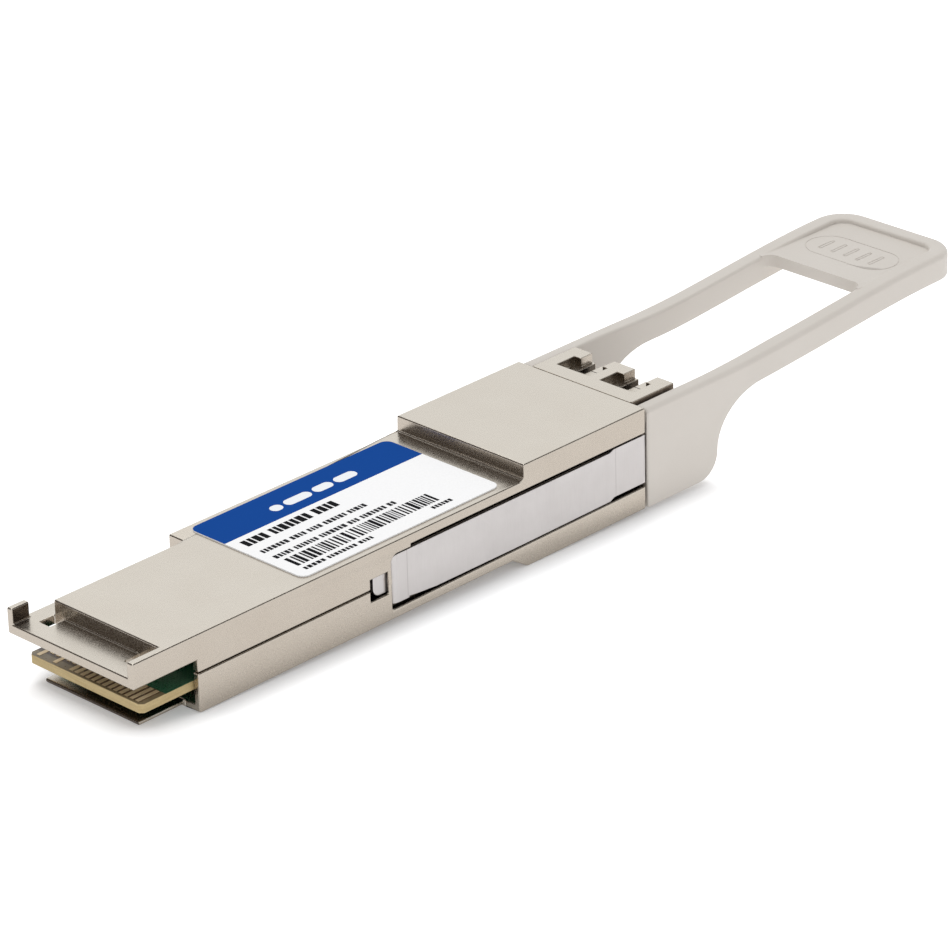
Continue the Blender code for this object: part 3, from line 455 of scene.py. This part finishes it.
def turned_steel():
    """Turned steel with rings left by the tool."""
    finish = Finish("turned_steel", (0.62, 0.61, 0.6), 0.25, 1.0)
    rings = finish.noise(0.1, 2.0, (1.0, 0.08, 0.08))
    tone = finish.remap(rings, 0.0, 1.0)
    finish.colour(finish.blend(tone, (0.56, 0.55, 0.54), (0.68, 0.67, 0.66)))
    finish.roughness(finish.remap(rings, 0.18, 0.34))
    finish.bump(rings, 0.2, 0.004)
    return finish.material


def flex_film():
    """Amber polyimide over copper lines."""
    finish = Finish("flex_film", (0.5, 0.26, 0.06), 0.3)
    lines = finish.noise(0.35, 1.0, (0.02, 1.0, 1.0))
    copper = finish.remap(lines, 0.0, 1.0, (0.48, 0.52))
    finish.colour(finish.blend(copper, (0.42, 0.2, 0.04), (0.68, 0.4, 0.13)))
    finish.roughness(finish.remap(lines, 0.25, 0.4))
    finish.bump(lines, 0.3, 0.01)
    return finish.material


def label_ink(name, colour, roughness=0.42):
    """A printed film colour with the faint mottle of the print."""
    finish = Finish(name, colour, roughness)
    finish.matt(0.0)
    mottle = finish.noise(0.3, 3.0)
    darker = tuple(value * 0.97 for value in colour)
    finish.colour(finish.blend(finish.remap(mottle, 0.0, 1.0), darker, colour))
    finish.roughness(finish.remap(mottle, roughness - 0.04, roughness + 0.06))
    finish.bump(mottle, 0.1, 0.003)
    return finish.material


# ---------------------------------------------------------------- shapes


def linked(name, data):
    """A new object in the scene."""
    made = bpy.data.objects.new(name, data)
    bpy.context.scene.collection.objects.link(made)
    return made


def smooth(made):
    """Smooth shading with sharp edges kept."""
    made.data.shade_smooth()
    made.data.set_sharp_from_angle(angle=SHARP)


def settle(piece, body, slot, *nodes):
    """Give a piece its body and hide the CAD nodes it stands for; the slot is not used."""
    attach(piece, body)
    if nodes:
        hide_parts(*nodes)
    return piece


def room_beside(line):
    """The shortest edge that leaves either end of an edge sideways."""
    shortest = 1.0
    for end in line.verts:
        onward = (end.co - line.other_vert(end).co).normalized()
        for other in end.link_edges:
            away = (other.other_vert(end).co - end.co).normalized()
            if other is not line and onward.dot(away) < ALONG:
                shortest = min(shortest, other.calc_length())
    return shortest


def rounded(piece, edge):
    """Round a piece's weighted edges."""
    bevel = piece.modifiers.new("edges", "BEVEL")
    bevel.width = edge * MM
    bevel.segments = EDGE_SEGMENTS
    bevel.limit_method = "WEIGHT"
    bevel.use_clamp_overlap = False
    bevel.harden_normals = True


def refined(node, name, edge, finish, body, slot, weld=WELD):
    """A detailed copy of a CAD node: its flat faces made whole and its edges rounded."""
    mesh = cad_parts[node].data.copy()
    mesh.materials.clear()
    mesh.materials.append(finish)
    work = bmesh.new()
    work.from_mesh(mesh)
    bmesh.ops.remove_doubles(work, verts=work.verts, dist=weld * MM)
    if edge:
        bmesh.ops.dissolve_limit(
            work,
            angle_limit=FLAT,
            verts=work.verts,
            edges=work.edges,
            use_dissolve_boundaries=False,
        )
    weight = work.edges.layers.float.new("bevel_weight_edge")
    for face in work.faces:
        face.material_index = 0
        face.smooth = True
    for line in work.edges:
        line.smooth = True
        if edge and len(line.link_faces) == 2 and line.calc_face_angle(0.0) > SHARP:
            if line.calc_length() > LONG_EDGE * MM:
                line[weight] = 1.0
            else:
                line[weight] = min(1.0, ROOM_SHARE * room_beside(line) / (edge * MM))
    work.to_mesh(mesh)
    work.free()
    mesh.set_sharp_from_angle(angle=SHARP)
    piece = linked(name, mesh)
    settle(piece, body, slot, node)
    if edge:
        rounded(piece, edge)
    return piece


def block(work, x, y, z, index=0):
    """A box in millimetres added to a mesh in the making."""
    corners = [work.verts.new((a * MM, b * MM, c * MM)) for a in x for b in y for c in z]
    for face in BOX_FACES:
        work.faces.new([corners[corner] for corner in face]).material_index = index


def slab(work, outline, z, index=0, rim=None):
    """A closed outline in the XY plane, extruded between two heights; the rim may differ."""
    rim = index if rim is None else rim
    low = [work.verts.new((x * MM, y * MM, z[0] * MM)) for x, y in outline]
    high = [work.verts.new((x * MM, y * MM, z[1] * MM)) for x, y in outline]
    work.faces.new(low[::-1]).material_index = index
    work.faces.new(high).material_index = index
    for here in range(len(outline)):
        after = (here + 1) % len(outline)
        work.faces.new((low[here], low[after], high[after], high[here])).material_index = rim


def finished(work, name, *finishes):
    """Close a mesh in the making and give it its materials."""
    bmesh.ops.recalc_face_normals(work, faces=work.faces)
    mesh = bpy.data.meshes.new(name)
    work.to_mesh(mesh)
    work.free()
    for finish in finishes:
        mesh.materials.append(finish)
    piece = linked(name, mesh)
    smooth(piece)
    return piece


def corner(centre, radius, start, steps=8):
    """Points on a quarter circle that starts at an angle in degrees."""
    points = []
    for step in range(steps + 1):
        angle = math.radians(start + 90.0 * step / steps)
        points.append((centre[0] + radius * math.cos(angle), centre[1] + radius * math.sin(angle)))
    return points


def board(mask, edge):
    """The circuit board: masked faces and routed edges."""
    piece = refined("circuit_board", "board", BOARD_EDGE, mask, "housing", "laminate")
    piece.data.materials.append(edge)
    for face in piece.data.polygons:
        if abs(face.normal.z) < SIDE_RISE:
            face.material_index = 1
    return piece


def contacts(gold):
    """Gold contacts on both faces of the paddle card; far signal contacts start further back."""
    low, high = (corner_at / MM for corner_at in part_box("circuit_board"))
    work = bmesh.new()
    for index in range(CONTACT_COUNT):
        y = (index - (CONTACT_COUNT - 1) / 2) * CONTACT_PITCH
        across = (y - CONTACT_WIDTH / 2, y + CONTACT_WIDTH / 2)
        short = index > SIGNALS_SHORT_FROM and index % SIGNAL_GROUP != 0
        start = low.x + CONTACT_FRONT + (CONTACT_SHORT if short else 0.0)
        along = (start, low.x + CONTACT_FRONT + CONTACT_LENGTH)
        block(work, along, across, (high.z, high.z + CONTACT_THICKNESS))
        block(work, along, across, (low.z - CONTACT_THICKNESS, low.z))
    piece = finished(work, "card_contacts", gold)
    return settle(piece, "housing", "gold_plate")


def label(white, blue):
    """The label: a white field and a coloured band along its far side."""
    low, high = (corner_at / MM for corner_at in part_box("top_label"))
    radius = LABEL_CORNER
    near = [(high.x, LABEL_BAND_Y), (low.x, LABEL_BAND_Y)]
    near += corner((low.x + radius, low.y + radius), radius, 180.0)
    near += corner((high.x - radius, low.y + radius), radius, 270.0)
    far = [(low.x, LABEL_BAND_Y), (high.x, LABEL_BAND_Y)]
    far += corner((high.x - radius, high.y - radius), radius, 0.0)
    far += corner((low.x + radius, high.y - radius), radius, 90.0)
    work = bmesh.new()
    bottom = low.z - LABEL_LIFT
    slab(work, near, (bottom, high.z), 0)
    slab(work, far, (bottom, high.z), 1, 0)
    piece = finished(work, "label", white, blue)
    return settle(piece, "housing", "label_film", "top_label")


def words(work, x, y, glyph, gap, index, seed):
    """A line of greeked print: plain blocks in word-like groups."""
    chance = random.Random(seed)
    at = x[0]
    while at < x[1]:
        for _ in range(chance.randint(*WORD_BLOCKS)):
            wide = glyph * chance.uniform(*BLOCK_SPREAD)
            if at + wide > x[1]:
                return
            block(work, (at, at + wide), y, PRINT_Z, index)
            at += wide + gap
        at += glyph * WORD_SPACE


def stripes(work, x, y, seed):
    """A row of upright stripes of uneven width, in black and grey groups."""
    chance = random.Random(seed)
    at = x[0]
    while at < x[1]:
        index = BLACK if chance.random() < BLACK_SHARE else GREY
        for _ in range(chance.randint(*STRIPE_RUN)):
            wide = chance.choice(STRIPE_WIDTHS)
            if at + wide > x[1]:
                return
            block(work, (at, at + wide), y, PRINT_Z, index)
            at += wide + chance.choice(STRIPE_GAPS)


def pill(work, x, y, index):
    """A bar with round ends."""
    radius = (y[1] - y[0]) / 2
    middle = (y[0] + y[1]) / 2
    outline = []
    for centre, turn in ((x[1] - radius, -90.0), (x[0] + radius, 90.0)):
        outline += corner((centre, middle), radius, turn)
        outline += corner((centre, middle), radius, turn + 90.0)[1:]
    slab(work, outline, PRINT_Z, index)


def printing(*inks):
    """Generic marks on the label: no lettering, only blocks, stripes and bars."""
    work = bmesh.new()
    for line in PRINT_LINES_ABOVE:
        words(work, *line)
    stripes(work, STRIPES_X, STRIPES_Y, STRIPES_SEED)
    for line in PRINT_LINES_BELOW:
        words(work, *line)
    start = PILLS_START_X
    for length in PILL_LENGTHS:
        pill(work, (start, start + length), PILLS_Y, WHITE)
        start += length + PILL_GAP
    return settle(finished(work, "label_print", *inks), "housing", "label_film")


def joint_seals(finish):
    """Thin seals where the head meets the receptacle and in the seam by the latch windows."""
    head_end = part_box("upper_housing")[1].x / MM
    work = bmesh.new()
    block(work, (head_end + SEAL_CLEAR, head_end + SEAL_WIDTH), SEAL_Y, SEAL_Z)
    for y in (BRIDGE_Y, (-BRIDGE_Y[1], -BRIDGE_Y[0])):
        block(work, BRIDGE_X, y, BRIDGE_Z)
    return settle(finished(work, "joint_seals", finish), "housing", "nickel_plate")


def stadium(radius, half_length, centre, steps=14):
    """The outline of a stadium that runs along y."""
    straight = half_length - radius
    points = []
    for turn, side in ((0.0, 1.0), (180.0, -1.0)):
        for step in range(steps + 1):
            angle = math.radians(turn + 180.0 * step / steps)
            x = centre[0] + radius * math.cos(angle)
            y = centre[1] + side * straight + radius * math.sin(angle)
            points.append((x, y))
    return points


def ring(work, outer, inner, z):
    """A flat ring between two outlines with as many points each, between two heights."""
    count = len(outer)
    loops = [[work.verts.new((x * MM, y * MM, height * MM)) for x, y in outline]
             for outline, height in ((outer, z[0]), (inner, z[0]), (inner, z[1]), (outer, z[1]))]
    for here in range(count):
        after = (here + 1) % count
        for first, second in zip(loops, loops[1:] + loops[:1]):
            work.faces.new((first[here], first[after], second[after], second[here]))


def engraving(top):
    """The closed shapes that are cut into the tab's plate."""
    work = bmesh.new()
    z = (top - GRIP_DEPTH, top + GRIP_CUT_ABOVE)
    half = GRIP_LINE / 2
    outer = stadium(GRIP_RADIUS + half, GRIP_HALF_LENGTH + half, GRIP_CENTRE)
    inner = stadium(GRIP_RADIUS - half, GRIP_HALF_LENGTH - half, GRIP_CENTRE)
    ring(work, outer, inner, z)
    for index in range(GRIP_BARS):
        y = (index - (GRIP_BARS - 1) / 2) * GRIP_BAR_PITCH
        wide = bar(y, GRIP_BAR_LENGTH, GRIP_BAR_WIDTH)
        narrow = bar(y, GRIP_BAR_LENGTH - 2 * GRIP_LINE, GRIP_BAR_WIDTH - 2 * GRIP_LINE)
        ring(work, wide, narrow, z)
    return finished(work, "engraving")


def bar(y, length, width):
    """The outline of a bar with round ends that runs along x, centred on the grip at y."""
    turned = stadium(width / 2, length / 2, (y, 0.0))
    return [(GRIP_CENTRE[0] + v, u) for u, v in turned]


def pull_tab(plastic):
    """The tab with its engraved outline and row of plain bars."""
    piece = refined("pull_tab", "tab", None, plastic, "release", "tab_plastic")
    tool = engraving(TAB_PLATE_TOP)
    cut = piece.modifiers.new("engraving", "BOOLEAN")
    cut.operation = "DIFFERENCE"
    cut.solver = "EXACT"
    cut.object = tool
    bpy.context.view_layer.update()
    cut_piece = piece.evaluated_get(bpy.context.evaluated_depsgraph_get())
    done = bpy.data.meshes.new_from_object(cut_piece)
    piece.modifiers.clear()
    done.set_sharp_from_angle(angle=TAB_SHARP)
    for face in done.polygons:
        x, y, _ = face.center / MM
        if PLATE_ROOT_X[0] < x < PLATE_ROOT_X[1] and PLATE_ROOT_Y[0] < abs(y) < PLATE_ROOT_Y[1]:
            face.use_smooth = False
    piece.data = done
    bpy.data.objects.remove(tool)
    even = piece.modifiers.new("normals", "WEIGHTED_NORMAL")
    even.keep_sharp = True
    return piece


# ---------------------------------------------------------------- stage


def camera():
    """The camera, turned about its own axis by the roll."""
    azimuth = math.radians(CAMERA_AZIMUTH)
    elevation = math.radians(CAMERA_ELEVATION)
    back = Vector((
        math.sin(azimuth) * math.cos(elevation),
        -math.cos(azimuth) * math.cos(elevation),
        math.sin(elevation),
    ))
    level = Vector((0.0, 0.0, 1.0)).cross(back).normalized()
    above = back.cross(level)
    roll = math.radians(CAMERA_ROLL)
    right = math.cos(roll) * level + math.sin(roll) * above
    up = -math.sin(roll) * level + math.cos(roll) * above
    lens = bpy.data.cameras.new("camera")
    lens.lens = CAMERA_LENS
    lens.sensor_width = CAMERA_SENSOR
    lens.clip_start, lens.clip_end = CAMERA_REACH
    made = linked("camera", lens)
    turn = Matrix((right, up, back)).transposed().to_4x4()
    made.matrix_world = Matrix.Translation(Vector(CAMERA_AT) * MM) @ turn
    bpy.context.scene.camera = made


def floor():
    """A plain pale floor that touches the module where it rests; its emission drops near the
    module to paint a contact shadow.
    """
    finish = Finish("floor", FLOOR_COLOUR, 0.9)
    finish.matt(0.0)
    finish.shader.inputs["Emission Color"].default_value = (1.0, 1.0, 1.0, 1.0)
    # Painted contact shadow: the floor's emission is lowered close to the module
    finish.links.new(finish.shadowed_glow(FLOOR_SHADOW_GLOW), finish.shader.inputs["Emission Strength"])
    slope = math.atan2(REST_REAR[1] - REST_FRONT[1], REST_REAR[0] - REST_FRONT[0])
    work = bmesh.new()
    half = FLOOR_SIZE * MM / 2
    corners = ((-half, -half), (half, -half), (half, half), (-half, half))
    work.faces.new([work.verts.new((x, y, 0.0)) for x, y in corners])
    mesh = bpy.data.meshes.new("floor")
    work.to_mesh(mesh)
    work.free()
    mesh.materials.append(finish.material)
    made = linked("floor", mesh)
    made.location = (REST_FRONT[0] * MM, 0.0, REST_FRONT[1] * MM)
    made.rotation_euler = (0.0, -slope, 0.0)


def linked_node(tree, kind, *inputs, **settings):
    """A new node with its settings, and outputs linked to its first inputs."""
    node = tree.nodes.new(kind)
    for name, value in settings.items():
        setattr(node, name, value)
    for socket, output in zip(node.inputs, inputs):
        tree.links.new(output, socket)
    return node


def towards(tree, direction, axis):
    """How far a direction points along an axis."""
    dot = linked_node(tree, "ShaderNodeVectorMath", direction, operation="DOT_PRODUCT")
    dot.inputs[1].default_value = axis
    return dot.outputs["Value"]


def room_brightness(tree, direction):
    """0 to 1: bright along one diagonal both ways, and where a panel hangs."""
    along = towards(tree, direction, ROOM_AXIS)
    bright = linked_node(tree, "ShaderNodeMath", along, operation="ABSOLUTE")
    for axis, low, high in ROOM_PANELS:
        panel = linked_node(tree, "ShaderNodeMapRange", towards(tree, direction, axis))
        panel.inputs["From Min"].default_value = low
        panel.inputs["From Max"].default_value = high
        both = (bright.outputs["Value"], panel.outputs["Result"])
        bright = linked_node(tree, "ShaderNodeMath", *both, operation="MAXIMUM")
    return bright.outputs["Value"]


def daylight():
    """Even light from all round; mirrored rays see a room with bright and dark walls instead."""
    world = bpy.data.worlds.new("daylight")
    bpy.context.scene.world = world
    world.use_nodes = True
    tree = world.node_tree
    tree.nodes.clear()
    even = linked_node(tree, "ShaderNodeBackground")
    even.inputs["Color"].default_value = (1.0, 1.0, 1.0, 1.0)
    even.inputs["Strength"].default_value = EVEN_LIGHT
    direction = linked_node(tree, "ShaderNodeTexCoord").outputs["Generated"]
    ramp = linked_node(tree, "ShaderNodeValToRGB", room_brightness(tree, direction))
    ramp.color_ramp.interpolation = "EASE"
    for element, (position, colour) in zip(ramp.color_ramp.elements, ROOM_RAMP):
        element.position = position
        element.color = (*colour, 1.0)
    room = linked_node(tree, "ShaderNodeBackground", ramp.outputs["Color"])
    room.inputs["Strength"].default_value = ROOM_LIGHT
    mirrored = linked_node(tree, "ShaderNodeLightPath").outputs["Is Glossy Ray"]
    seen = (even.outputs["Background"], room.outputs["Background"])
    mix = linked_node(tree, "ShaderNodeMixShader", mirrored, *seen)
    linked_node(tree, "ShaderNodeOutputWorld", mix.outputs["Shader"])


def softbox(name, at, aim, size, power):
    """A square area light aimed at a point; places in millimetres."""
    lamp = bpy.data.lights.new(name, "AREA")
    lamp.shape = "SQUARE"
    lamp.size = size * MM
    lamp.energy = power
    made = linked(name, lamp)
    made.location = Vector(at) * MM
    made.rotation_euler = (Vector(aim) - Vector(at)).to_track_quat("-Z", "Y").to_euler()


def outer_pieces(plated, sheet):
    """The pieces that show, each in place of its CAD node."""
    for node, name, edge, weld in (
        ("upper_housing", "upper_casting", CASTING_EDGE, SLIVER),
        ("lower_housing", "lower_casting", CASTING_EDGE, WELD),
        ("lc_receptacle", "receptacle", PORT_EDGE, WELD),
    ):
        refined(node, name, edge, plated, "housing", "nickel_plate", weld)
    for side in ("near", "far"):
        refined(f"slider_{side}", f"slide_{side}", SHEET_EDGE, sheet, "release", "stainless")
    pull_tab(tab_plastic())
    joint_seals(plated)
    board(solder_mask(), laminate_edge())
    contacts(plated_gold())
    label(
        label_ink("label_white", (0.97, 0.97, 0.975)),
        label_ink("label_blue", (0.0115, 0.07, 0.315)),
    )
    printing(
        label_ink("ink_black", (0.015, 0.015, 0.017)),
        label_ink("ink_grey", (0.2, 0.2, 0.21)),
        label_ink("ink_text", (0.025, 0.025, 0.028)),
        label_ink("ink_white", (0.9, 0.92, 0.95)),
    )


def inner_finishes(sheet):
    """The finish of each CAD node that is carried over as it is."""
    black = moulded("chip_black", (0.022, 0.022, 0.024))
    finishes = {
        "retimer_chip": black,
        "driver_chip": black,
        "microcontroller_chip": black,
        "clock_oscillator": moulded("ceramic_lid", (0.55, 0.52, 0.47), 0.1, (0.3, 0.45)),
        "inductor_near": moulded("ferrite", (0.09, 0.09, 0.1), 0.12, (0.5, 0.7), 0.015),
        "retimer_thermal_pad": moulded("gap_pad", (0.32, 0.43, 0.6), 0.2, (0.7, 0.9), 0.03),
        "tosa_package": plated_gold("package_gold", (0.78, 0.57, 0.27), 1.0),
        "tosa_barrel": turned_steel(),
        "tosa_sleeve": moulded("zirconia", (0.85, 0.85, 0.82), 0.1, (0.12, 0.22), 0.001),
        "tosa_flex": flex_film(),
        "barrel_clamp": sheet,
    }
    finishes["inductor_far"] = finishes["inductor_near"]
    for part in ("package", "barrel", "sleeve", "flex"):
        finishes[f"rosa_{part}"] = finishes[f"tosa_{part}"]
    for side in ("tosa", "rosa"):
        finishes[f"{side}_thermal_pad"] = finishes["retimer_thermal_pad"]
    for side in ("near", "far"):
        for place in ("screw_front", "screw_rear", "slider_spring"):
            finishes[f"{place}_{side}"] = finishes["tosa_barrel"]
    return finishes


def main():
    """The stage, then the module."""
    camera()
    floor()
    daylight()
    softbox("overhead", SOFTBOX_AT, SOFTBOX_AIM, SOFTBOX_SIZE, SOFTBOX_POWER)
    bpy.context.scene.view_settings.view_transform = "Standard"
    sheet = stainless()
    outer_pieces(nickel(), sheet)
    for node, finish in inner_finishes(sheet).items():
        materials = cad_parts[node].data.materials
        materials.clear()
        materials.append(finish)


main()
